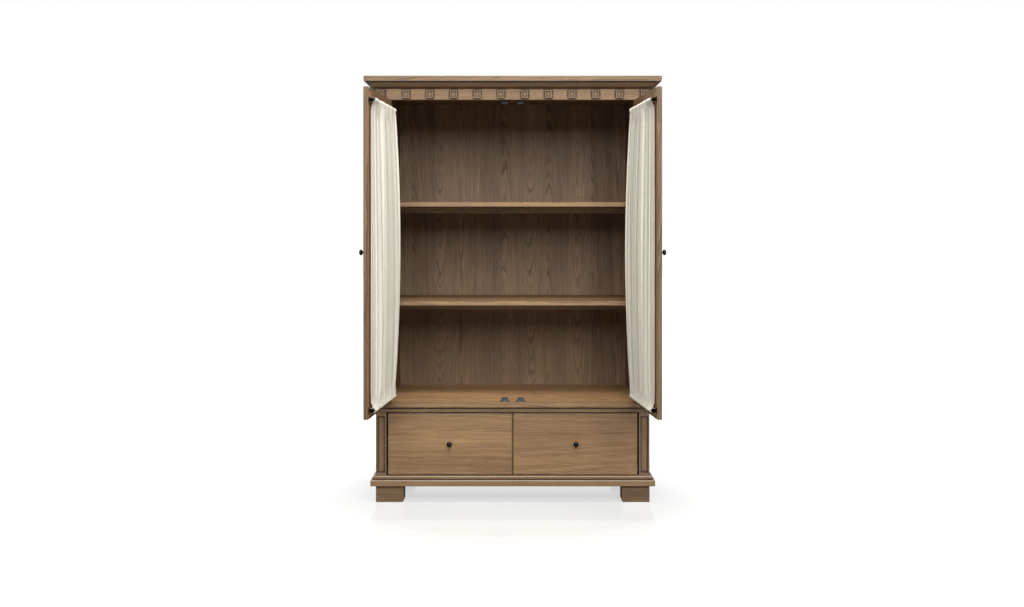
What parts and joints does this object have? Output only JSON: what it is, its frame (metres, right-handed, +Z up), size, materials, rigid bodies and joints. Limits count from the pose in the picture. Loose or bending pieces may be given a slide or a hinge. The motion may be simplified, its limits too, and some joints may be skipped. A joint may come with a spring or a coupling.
{
  "type": "armoire",
  "caption": "Free-standing two-door armoire with curtained mesh doors, fixed shelves, side-by-side drawers, a moulded crown and base, and block feet.",
  "frame": {"origin": "on the floor, under the middle of the whole object's extent with both doors open as it stands", "axes": "+Z up; the front faces -Y; +X to the right as seen from the front"},
  "size_m": [1.4, 1.338, 2.011],
  "materials": {
    "stained_ash": "brown-stained open-grain ash, matt lacquer",
    "drawer_wood": "plain light-stained drawer wood, matt",
    "curtain_cloth": "ivory linen and cotton, plain weave",
    "black_iron": "blackened iron, satin",
    "mesh_wire": "dark bronzed wire",
    "catch_plastic": "grey moulded plastic"
  },
  "bodies": {
    "carcase": {"cap_board": "stained_ash", "crown_moulding": "stained_ash", "frieze_rail": "stained_ash", "head_board": "stained_ash", "side_panel_left": "stained_ash", "side_panel_right": "stained_ash", "upper_pilaster_left": "stained_ash", "upper_pilaster_right": "stained_ash", "lower_pilaster_left": "stained_ash", "lower_pilaster_right": "stained_ash", "back_panel": "stained_ash", "shelf_upper": "stained_ash", "shelf_lower": "stained_ash", "shelf_bearer_upper": "stained_ash", "shelf_bearer_lower": "stained_ash", "deck_board": "stained_ash", "waist_rail": "stained_ash", "drawer_divider": "stained_ash", "bottom_board": "stained_ash", "base_moulding": "stained_ash", "foot_front_left": "stained_ash", "foot_front_right": "stained_ash", "foot_back_left": "stained_ash", "foot_back_right": "stained_ash", "catch_deck_left": "catch_plastic", "catch_deck_right": "catch_plastic", "catch_head_left": "catch_plastic", "catch_head_right": "catch_plastic", "frame_leaf_lower_left": "black_iron", "frame_leaf_upper_left": "black_iron", "frame_leaf_lower_right": "black_iron", "frame_leaf_upper_right": "black_iron"},
    "door_left": {"hinge_stile_left": "stained_ash", "lead_stile_left": "stained_ash", "top_rail_left": "stained_ash", "bottom_rail_left": "stained_ash", "mesh_panel_left": "mesh_wire", "curtain_left": "curtain_cloth", "rod_top_left": "black_iron", "rod_bottom_left": "black_iron", "door_knob_left": "black_iron", "door_leaf_lower_left": "black_iron", "door_leaf_upper_left": "black_iron"},
    "door_right": {"hinge_stile_right": "stained_ash", "lead_stile_right": "stained_ash", "top_rail_right": "stained_ash", "bottom_rail_right": "stained_ash", "mesh_panel_right": "mesh_wire", "curtain_right": "curtain_cloth", "rod_top_right": "black_iron", "rod_bottom_right": "black_iron", "door_knob_right": "black_iron", "door_leaf_lower_right": "black_iron", "door_leaf_upper_right": "black_iron"},
    "drawer_left": {"drawer_front_left": "stained_ash", "drawer_box_left": "drawer_wood", "drawer_knob_left": "black_iron"},
    "drawer_right": {"drawer_front_right": "stained_ash", "drawer_box_right": "drawer_wood", "drawer_knob_right": "black_iron"}
  },
  "joints": [
    {"name": "door_left_swing", "type": "hinge", "parent": "carcase", "child": "door_left", "pos_m": [-0.59565, -0.07498, 1.1875], "axis": [0, 0, -1], "range_deg": [-94.5, 15.5]},
    {"name": "door_right_swing", "type": "hinge", "parent": "carcase", "child": "door_right", "pos_m": [0.59565, -0.07498, 1.1875], "axis": [0, 0, 1], "range_deg": [-94.5, 15.5]},
    {"name": "drawer_left_slide", "type": "slide", "parent": "carcase", "child": "drawer_left", "axis": [0, -1, 0], "range_m": [0, 0.4]},
    {"name": "drawer_right_slide", "type": "slide", "parent": "carcase", "child": "drawer_right", "axis": [0, -1, 0], "range_m": [0, 0.4]}
  ]
}
